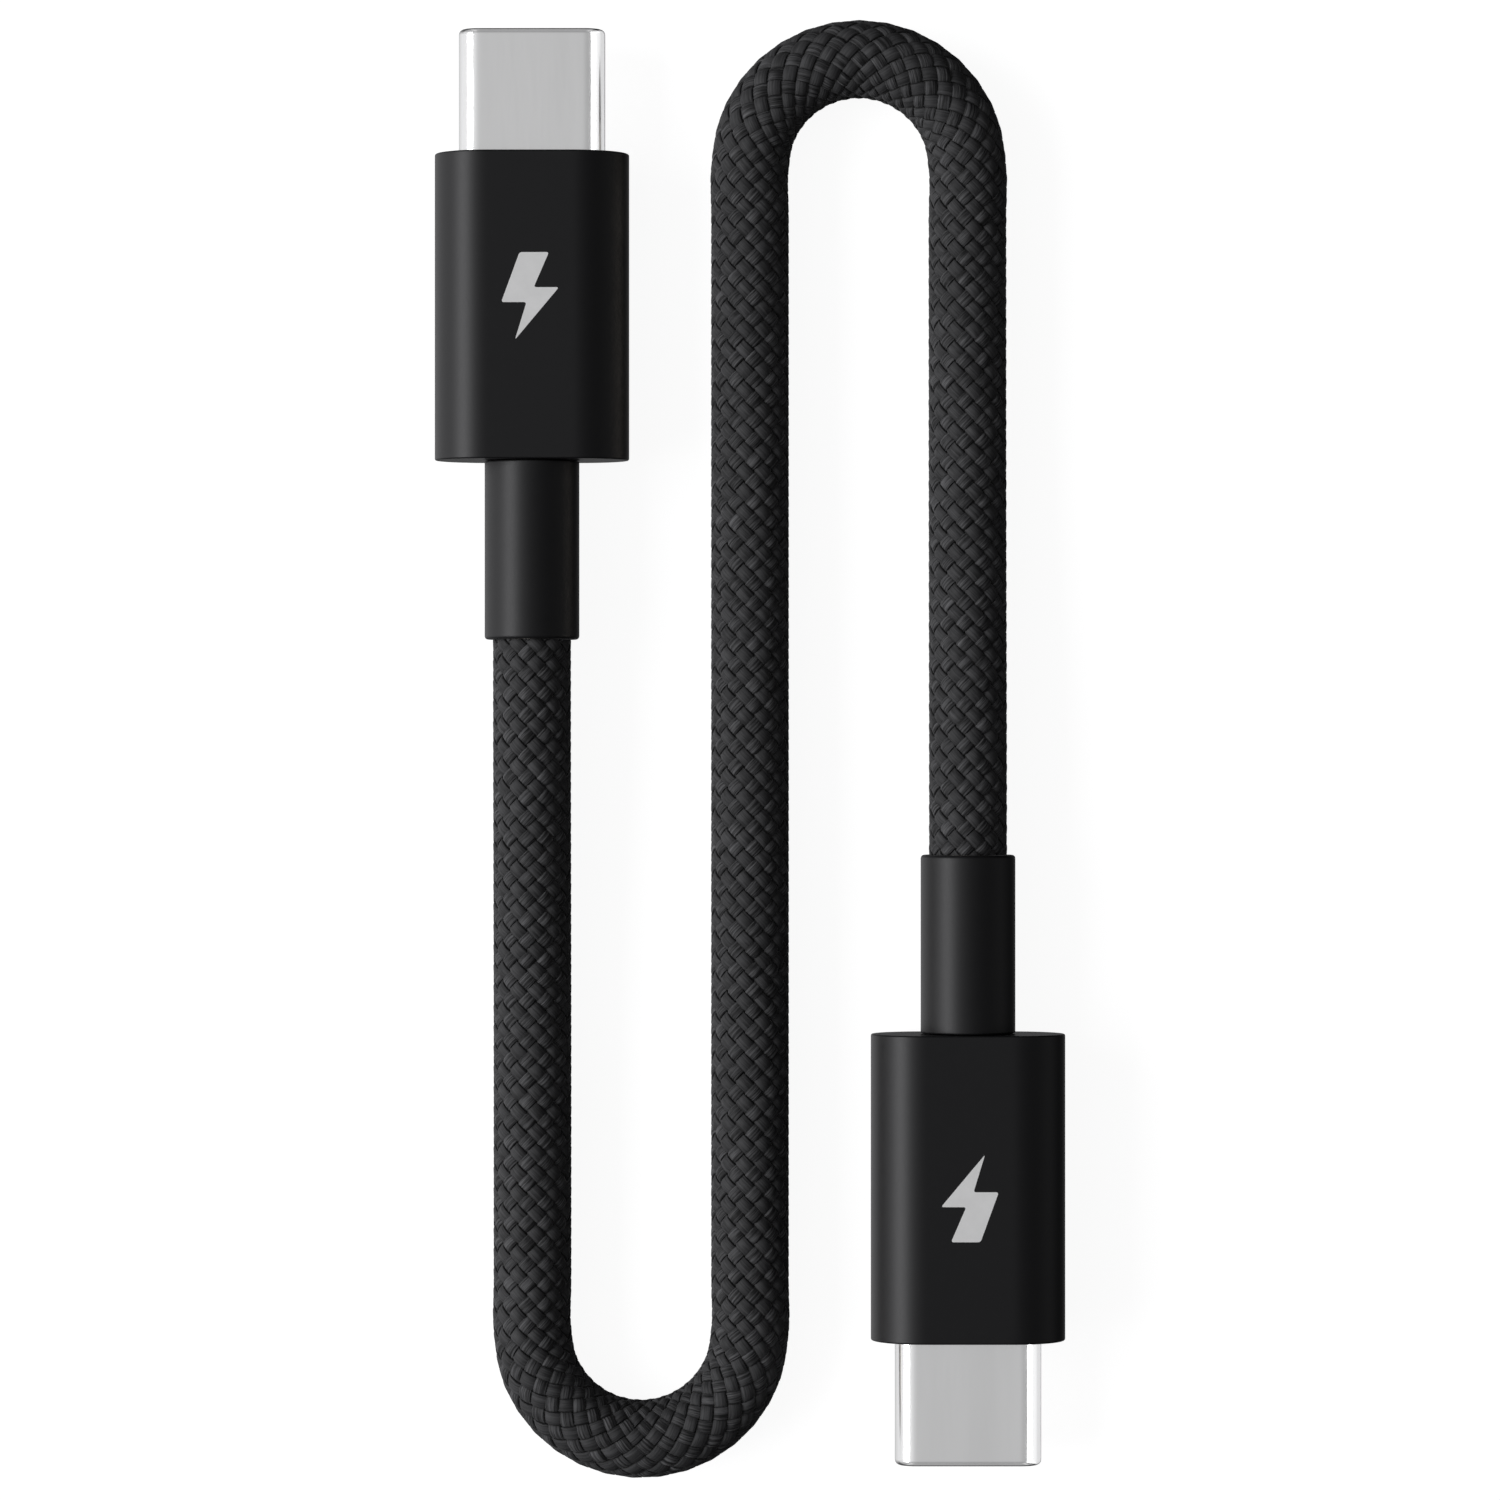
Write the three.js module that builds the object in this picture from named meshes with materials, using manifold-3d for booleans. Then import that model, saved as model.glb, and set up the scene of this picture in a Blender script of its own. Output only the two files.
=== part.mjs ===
// A short woven charging cable with a reversible 24-contact plug at each end.
//
// Frame: millimetres, +Z up. The cable lies on the plane z = 0 in a flat S. Plug A is on the left and
// points to +Y, plug B is on the right and points to -Y, and the origin is midway between them on the
// plane. Plug B is plug A turned half a turn about Z.
//
// Plug frame: +Y is the mating direction, y = 0 is the housing's front face, and the Y axis is the
// plug's own axis. Every plug piece is made in it, once for each plug.

import * as THREE from "three";
import { mergeVertices } from "three/addons/utils/BufferGeometryUtils.js";
import Module from "manifold-3d";

const wasm = await Module();
wasm.setup();

// ---- Clearances ---------------------------------------------------------------------------------
const fit = 0.05; // between two pieces that seat in or against each other
const wireGap = 0.06; // between neighbouring wires of the bundle
const flexGap = 0.7; // from a plug's flex axis to the cord's cut end, and to the lead's cut end
const past = 1; // how far a cutting solid runs past the faces that it cuts

// ---- Cord, from the wires outwards --------------------------------------------------------------
const powerWireDiameter = 1.0;
const dataWireDiameter = 0.5;
const shieldWall = 0.15;
const jacketWall = 0.42;
const sleeveWall = 0.3;
const cordSides = 8;
const wireSides = 6;

// ---- Plug housing and strain relief -------------------------------------------------------------
const housingLength = 17.25;
const housingWidth = 10.95;
const housingThickness = 6.0;
const housingWall = 0.8;
const housingFrontWall = 0.9;
const housingRearWall = 1.2;
const housingRim = 0.25;
const bootLength = 10.08;
const bootWall = 0.44;
const bootRim = 0.2;
const neckWall = 0.3;
const flangeThickness = 1.0;
const flangeWidth = 8.4;

// ---- Metal shell and what it holds --------------------------------------------------------------
const shellWidth = 8.25;
const shellHeight = 2.4;
const shellWall = 0.3;
const shellReach = 7.02; // in front of the housing
const shellTail = 3.6; // inside the housing
const shellRim = 0.3;
const lipDepth = 0.35;
const lipOverhang = 0.15; // how far the rolled lip turns in past the wall
const mouthWidth = 6.7;
const mouthHeight = 0.95;
const mouthLipDepth = 1.3; // before the mouth widens for the contact beams
const beamSpaceHeight = 1.34;
const insulatorSplit = -1.4; // where the front insulator ends and the rear one starts
const groundSpringWidth = 5.6;
const groundSpringLength = 0.9;
const groundSpringThickness = 0.1;
const groundSpringSetback = 0.2;

// ---- Contacts and latch -------------------------------------------------------------------------
const contactCount = 12;
const contactPitch = 0.5;
const contactWidth = 0.25;
const contactThickness = 0.12;
const contactHeight = 0.56; // of a beam's middle, above the plug axis
const contactTipHeight = 0.3;
const contactTipReach = 4.1;
const contactBendReach = 1.0;
const contactTail = 0.9; // on the board
const webLength = 1.2;
const latchThickness = 0.2;
const latchArmWidth = 0.22;
const latchReach = 4.3;
const latchHookLength = 0.7;
const latchHookDepth = 0.3;

// ---- Board and what it carries ------------------------------------------------------------------
const boardThickness = 0.6;
const boardWidth = 7.7;
const chipSide = 2.0;
const chipHeight = 0.5;
const canWall = 0.15;
const canLap = 0.6; // over the shell's rear end
const padLength = 1.3;
const powerPadOffset = 1.8;
const dataPadOffset = 0.45;

// ---- Cord end inside the plug -------------------------------------------------------------------
const bootShoulder = 0.3; // wall that stops the woven sleeve and the jacket inside the strain relief
const ferruleLength = 1.4;
const ferruleWall = 0.3;
const shieldProud = 0.25; // in front of the ferrule
const solderRun = 1.2; // bare run of the wires between the shield and the board

// ---- Fineness -----------------------------------------------------------------------------------
const arcSegments = 8;
const rimSegments = 1;
const roundSegments = 20;

// ---- Worked out from the sizes above ------------------------------------------------------------
// The two power wires lie side by side, the cc wire in the valley under them and the data pair above.
const powerOffset = (powerWireDiameter + wireGap) / 2;
const dataOffset = (dataWireDiameter + wireGap) / 2;
const mixedPitch = (powerWireDiameter + dataWireDiameter) / 2 + wireGap;
const valleyDepth = Math.sqrt(mixedPitch ** 2 - powerOffset ** 2);
const pairHeight = Math.sqrt(mixedPitch ** 2 - (powerOffset - dataOffset) ** 2);
const bundleRadius = Math.max(
  powerOffset + powerWireDiameter / 2,
  Math.hypot(dataOffset, pairHeight) + dataWireDiameter / 2,
);

const flatToCorner = Math.cos(Math.PI / cordSides);
const shieldInner = bundleRadius / flatToCorner + fit;
const shieldOuter = shieldInner + shieldWall;
const jacketInner = shieldOuter + fit;
const jacketOuter = jacketInner + jacketWall;
const sleeveInner = jacketOuter + fit;
const sleeveOuter = sleeveInner + sleeveWall;

const cavityWidth = housingWidth - 2 * housingWall;
const cavityThickness = housingThickness - 2 * housingWall;
const cavityRear = housingRearWall - housingLength;
const bootEnd = -housingLength - bootLength;
const flexAxis = -housingLength - bootLength / 2;
const leadEnd = flexAxis + flexGap;
const bootBore = sleeveOuter + fit;
const bootRadius = bootBore + bootWall;
const bootFront = -housingLength - fit;
const sleeveTailEnd = bootFront - bootShoulder - fit;
const neckBore = shieldOuter + fit;
const neckRadius = neckBore + neckWall;

const flangeRear = cavityRear + fit;
const flangeFront = flangeRear + flangeThickness;
const ferruleRear = flangeFront + fit;
const ferruleFront = ferruleRear + ferruleLength;
const shieldEnd = ferruleFront + shieldProud;
const boardRear = shieldEnd + solderRun;
const padFront = boardRear + padLength;

const shellRear = -shellTail;
const shellBoreWidth = shellWidth - 2 * shellWall;
const shellBoreHeight = shellHeight - 2 * shellWall;
const insulatorWidth = shellBoreWidth - 2 * fit;
const insulatorHeight = shellBoreHeight - 2 * fit;
const insulatorFront = shellReach - lipDepth - fit;
const mouthRoot = insulatorFront - mouthLipDepth;
const rearInsulatorRear = shellRear + 2 * fit;
const boardFront = shellRear - fit;
const contactTailEnd = boardFront - contactTail;
const contactSeat = boardThickness / 2 + fit + contactThickness / 2;
const canFront = shellRear + canLap;
const canRear = padFront + 2 * fit;
const canOuterHeight = shellHeight + 2 * (fit + canWall);
const wireTop = boardThickness / 2 + fit + powerWireDiameter;
const mouldBoreHeight = 2 * (Math.max(canOuterHeight / 2, wireTop) + fit);
const mouldBoreWidth = shellWidth - shellHeight + mouldBoreHeight;

// ---- Route of the cord's axis, from plug A to plug B --------------------------------------------
// x and y in millimetres, then the lift: 0 lies on the plane, 1 is level with the plug axis.
const route = [
  [-12.28, 10.4, 1],
  [-12.28, 5, 1],
  [-12.28, -1, 0.88],
  [-12.28, -8, 0.42],
  [-12.28, -15, 0.06],
  [-12.28, -23, 0],
  [-12.28, -30, 0],
  [-12.28, -32.9, 0],
  [-11.81, -35.25, 0],
  [-10.48, -37.24, 0],
  [-8.49, -38.57, 0],
  [-6.14, -39.04, 0],
  [-3.79, -38.57, 0],
  [-1.8, -37.24, 0],
  [-0.47, -35.25, 0],
  [0, -32.9, 0],
  [0, -30, 0],
  [0, -15, 0],
  [0, 0, 0],
  [0, 15, 0],
  [0, 29.8, 0],
  [0, 32.7, 0],
  [0.47, 35.05, 0],
  [1.8, 37.04, 0],
  [3.79, 38.37, 0],
  [6.14, 38.84, 0],
  [8.49, 38.37, 0],
  [10.48, 37.04, 0],
  [11.81, 35.05, 0],
  [12.28, 32.7, 0],
  [12.28, 29.8, 0],
  [12.28, 23, 0],
  [12.28, 15, 0.06],
  [12.28, 8, 0.42],
  [12.28, 1, 0.88],
  [12.28, -5, 1],
  [12.28, -10.4, 1],
];
// Housing and strain relief both stay on or above the plane.
const plugAxisHeight = Math.max(housingThickness / 2, bootRadius);
const plugReach = flexGap - flexAxis; // from the cord's cut end to the housing's front face

// ---- Materials ----------------------------------------------------------------------------------
function material(color, roughness, metalness) {
  return new THREE.MeshStandardMaterial({ color, roughness, metalness });
}

const blackPlastic = material(0x1c1c1d, 0.55, 0);
const blackRubber = material(0x202021, 0.65, 0);
const wovenYarn = material(0x1a1a1b, 0.8, 0);
const brightSteel = material(0xc4c5c6, 0.25, 1);
const springSteel = material(0xa9abad, 0.35, 1);
const goldPlate = material(0xd9b45a, 0.3, 1);
const darkResin = material(0x151515, 0.6, 0);
const clearResin = material(0xd8d5c8, 0.5, 0);
const boardResin = material(0x10402a, 0.5, 0);
const greyRubber = material(0x55565a, 0.7, 0);
const tinnedCopper = material(0xb9b2a6, 0.45, 1);
const redVinyl = material(0xa81f1f, 0.5, 0);
const blackVinyl = material(0x111111, 0.5, 0);
const blueVinyl = material(0x1f4fa8, 0.5, 0);
const greenVinyl = material(0x1f7a3a, 0.5, 0);
const whiteVinyl = material(0xe4e2dc, 0.5, 0);

// ---- Solids -------------------------------------------------------------------------------------
function solid(geometry) {
  const bare = geometry.clone();
  bare.deleteAttribute("normal");
  bare.deleteAttribute("uv");
  const merged = mergeVertices(bare);
  return new wasm.Manifold(
    new wasm.Mesh({
      numProp: 3,
      vertProperties: merged.attributes.position.array,
      triVerts: new Uint32Array(merged.index.array),
    }),
  );
}

function geometryOf(body) {
  const mesh = body.getMesh();
  const geometry = new THREE.BufferGeometry();
  geometry.setAttribute("position", new THREE.BufferAttribute(mesh.vertProperties, 3));
  geometry.setIndex(new THREE.BufferAttribute(mesh.triVerts, 1));
  geometry.computeVertexNormals();
  return geometry;
}

function cut(geometry, ...cutters) {
  let body = solid(geometry);
  for (const cutter of cutters) body = body.subtract(solid(cutter));
  return geometryOf(body);
}

function join(...geometries) {
  const [first, ...others] = geometries.map(solid);
  return geometryOf(others.reduce((body, other) => body.add(other), first));
}

// ---- Outlines in the plug's X-Z plane -----------------------------------------------------------
// A bar with full-round sides.
function stadium(width, height) {
  const radius = height / 2;
  const offset = width / 2 - radius;
  const shape = new THREE.Shape();
  shape.absarc(offset, 0, radius, -Math.PI / 2, Math.PI / 2);
  shape.absarc(-offset, 0, radius, Math.PI / 2, 1.5 * Math.PI);
  return shape;
}

// The upper half of a thin-walled stadium, standing gap above the middle plane.
function channel(outerWidth, outerHeight, wall, gap) {
  const radius = outerHeight / 2;
  const offset = outerWidth / 2 - radius;
  const inner = radius - wall;
  const outerStart = Math.asin(gap / radius);
  const innerStart = Math.asin(gap / inner);
  const shape = new THREE.Shape();
  shape.absarc(offset, 0, radius, outerStart, Math.PI / 2);
  shape.absarc(-offset, 0, radius, Math.PI / 2, Math.PI - outerStart);
  shape.absarc(-offset, 0, inner, Math.PI - innerStart, Math.PI / 2, true);
  shape.absarc(offset, 0, inner, Math.PI / 2, innerStart, true);
  return shape;
}

function rectangle(width, height, middle = 0) {
  return polygon([
    [-width / 2, middle - height / 2],
    [width / 2, middle - height / 2],
    [width / 2, middle + height / 2],
    [-width / 2, middle + height / 2],
  ]);
}

function polygon(points) {
  return new THREE.Shape(points.map(([x, y]) => new THREE.Vector2(x, y)));
}

// A regular polygon with one corner straight down.
function roundOutline(radius, sides, across = 0, up = 0) {
  const points = [];
  for (let i = 0; i < sides; i += 1) {
    const angle = (2 * Math.PI * i) / sides;
    points.push([across + radius * Math.sin(angle), up - radius * Math.cos(angle)]);
  }
  return polygon(points);
}

function ring(outer, inner, sides) {
  const shape = roundOutline(outer, sides);
  shape.holes.push(roundOutline(inner, sides));
  return shape;
}

// An outline extruded along the plug axis, with both end rims rounded when rim is given.
function prism(shape, front, rear, rim = 0) {
  const geometry = new THREE.ExtrudeGeometry(shape, {
    depth: front - rear - 2 * rim,
    curveSegments: arcSegments,
    bevelEnabled: rim > 0,
    bevelThickness: rim,
    bevelSize: rim,
    bevelOffset: -rim,
    bevelSegments: rimSegments,
  });
  return geometry.rotateX(Math.PI / 2).translate(0, front - rim, 0);
}

// A bar round the plug axis.
function round(radius, front, rear) {
  const geometry = new THREE.CylinderGeometry(radius, radius, front - rear, roundSegments);
  return geometry.translate(0, (front + rear) / 2, 0);
}

// ---- Plug pieces --------------------------------------------------------------------------------
function housing() {
  return cut(
    prism(stadium(housingWidth, housingThickness), 0, -housingLength, housingRim),
    prism(stadium(cavityWidth, cavityThickness), -housingFrontWall, cavityRear),
    prism(stadium(shellWidth + 2 * fit, shellHeight + 2 * fit), past, -housingFrontWall - past),
    round(neckRadius + fit, cavityRear + past, -housingLength - past),
  );
}

// A sleeve round the cord outside the housing, a neck through its rear wall and a flange behind that.
function strainRelief() {
  const outline = stadium(flangeWidth, cavityThickness - 2 * fit);
  return cut(
    join(
      prism(roundOutline(bootRadius, roundSegments), bootFront, bootEnd, bootRim),
      round(neckRadius, flangeFront - flangeThickness / 2, bootFront - bootShoulder / 2),
      prism(outline, flangeFront, flangeRear),
    ),
    round(bootBore, bootFront - bootShoulder, bootEnd - past),
    round(neckBore, flangeFront + past, bootFront - past),
  );
}

function shell() {
  const outside = prism(
    stadium(shellWidth, shellHeight),
    shellReach,
    shellRear - 2 * shellRim,
    shellRim,
  );
  const mouth = stadium(shellBoreWidth - 2 * lipOverhang, shellBoreHeight - 2 * lipOverhang);
  return cut(
    outside,
    prism(rectangle(shellWidth + past, shellHeight + past), shellRear, shellRear - past),
    prism(mouth, shellReach + past, shellRear - past),
    prism(stadium(shellBoreWidth, shellBoreHeight), shellReach - lipDepth, shellRear - past),
  );
}

// The moulding that lines the shell, with the mouth that takes the socket's tongue.
function frontInsulator() {
  const springTop = insulatorFront - groundSpringSetback + fit;
  const springBottom = springTop - groundSpringLength - 2 * fit;
  const pocketFloor = insulatorHeight / 2 - groundSpringThickness - fit;
  const pocket = rectangle(groundSpringWidth + 2 * fit, past, pocketFloor + past / 2);
  const lowerPocket = rectangle(groundSpringWidth + 2 * fit, past, -pocketFloor - past / 2);
  return cut(
    prism(stadium(insulatorWidth, insulatorHeight), insulatorFront, insulatorSplit),
    prism(rectangle(mouthWidth, mouthHeight), insulatorFront + past, insulatorSplit - past),
    prism(rectangle(mouthWidth, beamSpaceHeight), mouthRoot, insulatorSplit - past),
    prism(pocket, springTop, springBottom),
    prism(lowerPocket, springTop, springBottom),
  );
}

// The block behind it, with a slot for each row of contacts and one for the latch plate.
function rearInsulator() {
  const front = insulatorSplit - fit;
  const rowWidth = contactPitch * contactCount + 2 * fit;
  const rowSlot = contactThickness + 2 * fit;
  return cut(
    prism(stadium(insulatorWidth, insulatorHeight), front, rearInsulatorRear),
    prism(rectangle(rowWidth, rowSlot, contactHeight), front + past, rearInsulatorRear - past),
    prism(rectangle(rowWidth, rowSlot, -contactHeight), front + past, rearInsulatorRear - past),
    prism(
      rectangle(mouthWidth - 2 * fit, latchThickness + 2 * fit),
      front + past,
      rearInsulatorRear - past,
    ),
  );
}

// One row of contact beams, tied together inside the rear insulator; side is 1 above, -1 below.
function contactRow(side) {
  const half = contactThickness / 2;
  const spine = [
    [contactTailEnd, contactSeat],
    [boardFront - contactThickness, contactSeat],
    [boardFront + fit, contactHeight],
    [contactBendReach, contactHeight],
    [contactTipReach, contactTipHeight],
  ];
  const lower = spine.map(([y, z]) => [y, side * (z - half)]);
  const upper = spine.map(([y, z]) => [y, side * (z + half)]);
  const outline = [...lower, ...upper.reverse()];
  const beams = [];
  for (let i = 0; i < contactCount; i += 1) {
    const x = (i - (contactCount - 1) / 2) * contactPitch;
    const beam = new THREE.ExtrudeGeometry(polygon(outline), {
      depth: contactWidth,
      bevelEnabled: false,
    });
    // The outline's own x and y become the plug's Y and Z, and its depth runs along X.
    beam.applyMatrix4(
      new THREE.Matrix4().makeBasis(
        new THREE.Vector3(0, 1, 0),
        new THREE.Vector3(0, 0, 1),
        new THREE.Vector3(1, 0, 0),
      ),
    );
    beams.push(beam.translate(x - contactWidth / 2, 0, 0));
  }
  const webFront = (insulatorSplit + rearInsulatorRear + webLength) / 2;
  const webWidth = contactPitch * (contactCount - 1);
  const web = prism(
    rectangle(webWidth, contactThickness, side * contactHeight),
    webFront,
    webFront - webLength,
  );
  return join(web, ...beams);
}

// A flat steel plate between the contact rows, with an arm down each side of the mouth.
function latchSpring() {
  const outer = mouthWidth / 2 - 2 * fit;
  const inner = outer - latchArmWidth;
  const barFront = insulatorSplit - 2 * fit;
  const half = [
    [outer, shellRear + 2 * fit],
    [outer, latchReach],
    [inner - latchHookDepth, latchReach - latchHookLength / 2],
    [inner, latchReach - latchHookLength],
    [inner, barFront],
  ];
  const mirrored = half.map(([x, y]) => [-x, y]).reverse();
  const geometry = new THREE.ExtrudeGeometry(polygon([...half, ...mirrored]), {
    depth: latchThickness,
    bevelEnabled: false,
  });
  return geometry.translate(0, 0, -latchThickness / 2);
}

// A thin strip that earths the socket's shell, in its pocket in the insulator.
function groundSpring(side) {
  const front = insulatorFront - groundSpringSetback;
  const middle = insulatorHeight / 2 - groundSpringThickness / 2;
  return prism(
    rectangle(groundSpringWidth, groundSpringThickness, side * middle),
    front,
    front - groundSpringLength,
  );
}

function circuitBoard() {
  return prism(rectangle(boardWidth, boardThickness), boardFront, boardRear);
}

function controlChip() {
  const middle = (contactTailEnd + canRear) / 2;
  const height = boardThickness / 2 + fit + chipHeight / 2;
  return prism(
    rectangle(chipSide, chipHeight, height),
    middle + chipSide / 2,
    middle - chipSide / 2,
  );
}

// Half of the screening box round the board; side is 1 above, -1 below.
function shieldCan(side) {
  const width = shellWidth - shellHeight + canOuterHeight;
  const half = prism(channel(width, canOuterHeight, canWall, fit), canFront, canRear);
  return side > 0 ? half : half.rotateY(Math.PI);
}

function innerMould() {
  return cut(
    prism(
      stadium(cavityWidth - 2 * fit, cavityThickness - 2 * fit),
      -housingFrontWall - fit,
      ferruleFront + 2 * fit,
    ),
    prism(stadium(shellWidth + 2 * fit, shellHeight + 2 * fit), 0, canFront),
    prism(stadium(mouldBoreWidth, mouldBoreHeight), canFront + 2 * fit, ferruleFront - past),
  );
}

function crimpFerrule() {
  const bore = shieldOuter + fit;
  return prism(ring(bore + ferruleWall, bore, roundSegments), ferruleFront, ferruleRear);
}

// One of the cord's layers on the plug's side of its flex axis.
function tail(outer, inner, front) {
  return prism(ring(outer, inner, cordSides), front, leadEnd);
}

// ---- Wires --------------------------------------------------------------------------------------
// across and up place a wire in the bundle; padAcross and padSide say where it meets the board.
const wires = [
  {
    name: "power_wire",
    diameter: powerWireDiameter,
    across: -powerOffset,
    up: 0,
    padAcross: -powerPadOffset,
    padSide: 1,
    look: redVinyl,
  },
  {
    name: "ground_wire",
    diameter: powerWireDiameter,
    across: powerOffset,
    up: 0,
    padAcross: powerPadOffset,
    padSide: 1,
    look: blackVinyl,
  },
  {
    name: "cc_wire",
    diameter: dataWireDiameter,
    across: 0,
    up: -valleyDepth,
    padAcross: 0,
    padSide: -1,
    look: blueVinyl,
  },
  {
    name: "data_plus_wire",
    diameter: dataWireDiameter,
    across: -dataOffset,
    up: pairHeight,
    padAcross: -dataPadOffset,
    padSide: 1,
    look: greenVinyl,
  },
  {
    name: "data_minus_wire",
    diameter: dataWireDiameter,
    across: dataOffset,
    up: pairHeight,
    padAcross: dataPadOffset,
    padSide: 1,
    look: whiteVinyl,
  },
];

// ---- Sweeps along a route -----------------------------------------------------------------------
// A smooth curve with one upright section at each of its own points, so bends get the most sections.
class LevelCurve extends THREE.CatmullRomCurve3 {
  getUtoTmapping(u) {
    return u;
  }

  // An outline's x stays level and its y points up, whichever way the curve turns.
  computeFrenetFrames(segments) {
    const frames = { tangents: [], normals: [], binormals: [] };
    for (let i = 0; i <= segments; i += 1) {
      const tangent = this.getTangentAt(i / segments);
      const level = new THREE.Vector3(0, 0, 1).cross(tangent).normalize();
      frames.tangents.push(tangent);
      frames.normals.push(level);
      frames.binormals.push(tangent.clone().cross(level));
    }
    return frames;
  }
}

function sweep(shape, points) {
  return new THREE.ExtrudeGeometry(shape, {
    steps: points.length - 1,
    extrudePath: new LevelCurve(points),
  });
}

const cordPoints = route.map(([x, y, lift]) => {
  const z = sleeveOuter + lift * (plugAxisHeight - sleeveOuter);
  return new THREE.Vector3(x, y, z);
});

function cordTube(outer, inner) {
  return sweep(ring(outer, inner, cordSides), cordPoints);
}

function cordWire({ diameter, across, up }) {
  return sweep(roundOutline(diameter / 2, wireSides, across, up), cordPoints);
}

// A wire from the flex axis through the neck and ferrule to its pad; side is -1 in plug B, which
// meets the bundle from its other end.
function wireTail({ diameter, across, up, padAcross, padSide }, side) {
  const padHeight = padSide * (boardThickness / 2 + fit + diameter / 2);
  const points = [
    new THREE.Vector3(side * across, leadEnd, up),
    new THREE.Vector3(side * across, shieldEnd, up),
    new THREE.Vector3(side * padAcross, boardRear - fit, padHeight),
    new THREE.Vector3(side * padAcross, padFront, padHeight),
  ];
  return sweep(roundOutline(diameter / 2, wireSides), points);
}

// ---- Assembly -----------------------------------------------------------------------------------
function piece(name, geometry, look) {
  const mesh = new THREE.Mesh(geometry, look);
  mesh.name = name;
  return mesh;
}

function plug(name, side) {
  const group = new THREE.Group();
  const add = (part, geometry, look) => group.add(piece(`${name}_${part}`, geometry, look));
  add("housing", housing(), blackPlastic);
  add("strain_relief", strainRelief(), blackRubber);
  add("shell", shell(), brightSteel);
  add("front_insulator", frontInsulator(), darkResin);
  add("rear_insulator", rearInsulator(), darkResin);
  add("upper_contacts", contactRow(1), goldPlate);
  add("lower_contacts", contactRow(-1), goldPlate);
  add("latch_spring", latchSpring(), springSteel);
  add("upper_ground_spring", groundSpring(1), springSteel);
  add("lower_ground_spring", groundSpring(-1), springSteel);
  add("circuit_board", circuitBoard(), boardResin);
  add("control_chip", controlChip(), darkResin);
  add("upper_shield_can", shieldCan(1), springSteel);
  add("lower_shield_can", shieldCan(-1), springSteel);
  add("inner_mould", innerMould(), clearResin);
  add("crimp_ferrule", crimpFerrule(), tinnedCopper);
  add("sleeve_tail", tail(sleeveOuter, sleeveInner, sleeveTailEnd), wovenYarn);
  add("jacket_tail", tail(jacketOuter, jacketInner, sleeveTailEnd), greyRubber);
  add("shield_tail", tail(shieldOuter, shieldInner, shieldEnd), tinnedCopper);
  for (const wire of wires) {
    add(wire.name.replace("_wire", "_tail"), wireTail(wire, side), wire.look);
  }
  return group;
}

// Each plug stands where its flex axis meets the cord's cut end, with its own axis level.
const [startX, startY] = route[0];
const [endX, endY] = route[route.length - 1];

const plugA = plug("plug_a", 1);
plugA.position.set(startX, startY + plugReach, plugAxisHeight);

const plugB = plug("plug_b", -1);
plugB.position.set(endX, endY - plugReach, plugAxisHeight);
plugB.rotation.z = Math.PI;

const cable = new THREE.Group();
cable.add(plugA, plugB);
cable.add(piece("woven_sleeve", cordTube(sleeveOuter, sleeveInner), wovenYarn));
cable.add(piece("inner_jacket", cordTube(jacketOuter, jacketInner), greyRubber));
cable.add(piece("shield_braid", cordTube(shieldOuter, shieldInner), tinnedCopper));
for (const wire of wires) cable.add(piece(wire.name, cordWire(wire), wire.look));

export default cable;
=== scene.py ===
"""Looks of a short woven charging cable with a plug at each end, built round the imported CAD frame.

Metres, +Z up, in the frame's own coordinates. Plug A is on the left and points to +Y; plug B is plug A
turned half a turn about Z. Each plug piece is made in its plug's own frame: +Y is the mating direction,
y = 0 is the housing's front face and the Y axis is the plug's axis.
"""

import math

import bpy
import numpy as np
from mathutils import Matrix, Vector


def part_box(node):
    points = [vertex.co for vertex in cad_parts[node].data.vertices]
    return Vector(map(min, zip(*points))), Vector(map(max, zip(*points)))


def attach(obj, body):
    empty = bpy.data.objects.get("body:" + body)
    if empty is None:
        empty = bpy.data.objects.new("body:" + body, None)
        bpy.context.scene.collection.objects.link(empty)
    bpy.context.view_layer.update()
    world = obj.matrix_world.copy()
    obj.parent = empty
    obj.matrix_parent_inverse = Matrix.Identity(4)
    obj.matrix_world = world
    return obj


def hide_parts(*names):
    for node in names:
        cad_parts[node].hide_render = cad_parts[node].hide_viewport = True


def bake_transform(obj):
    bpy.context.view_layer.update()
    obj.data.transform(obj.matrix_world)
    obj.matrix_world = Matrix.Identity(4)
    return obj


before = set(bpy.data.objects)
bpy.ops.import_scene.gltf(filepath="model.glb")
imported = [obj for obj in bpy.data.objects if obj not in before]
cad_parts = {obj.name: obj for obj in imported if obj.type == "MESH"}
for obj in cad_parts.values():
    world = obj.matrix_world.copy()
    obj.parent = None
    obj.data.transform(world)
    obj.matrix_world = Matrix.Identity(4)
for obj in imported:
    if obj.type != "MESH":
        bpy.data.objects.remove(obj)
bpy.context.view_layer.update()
scene = bpy.context.scene
mm = 0.001

# ---- Camera: straight above, at the distance that gives the plugs their slight perspective ---------
CAMERA_HEIGHT = 348 * mm
CAMERA_NORTH = -0.158 * mm
LENS = 146.98

camera = bpy.data.objects.new("camera", bpy.data.cameras.new("camera"))
camera.data.lens = LENS
camera.data.sensor_width = 36
camera.data.clip_start = 1 * mm
camera.location = (0, CAMERA_NORTH, CAMERA_HEIGHT)
scene.collection.objects.link(camera)
scene.camera = camera
scene.view_settings.view_transform = "Standard"

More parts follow.
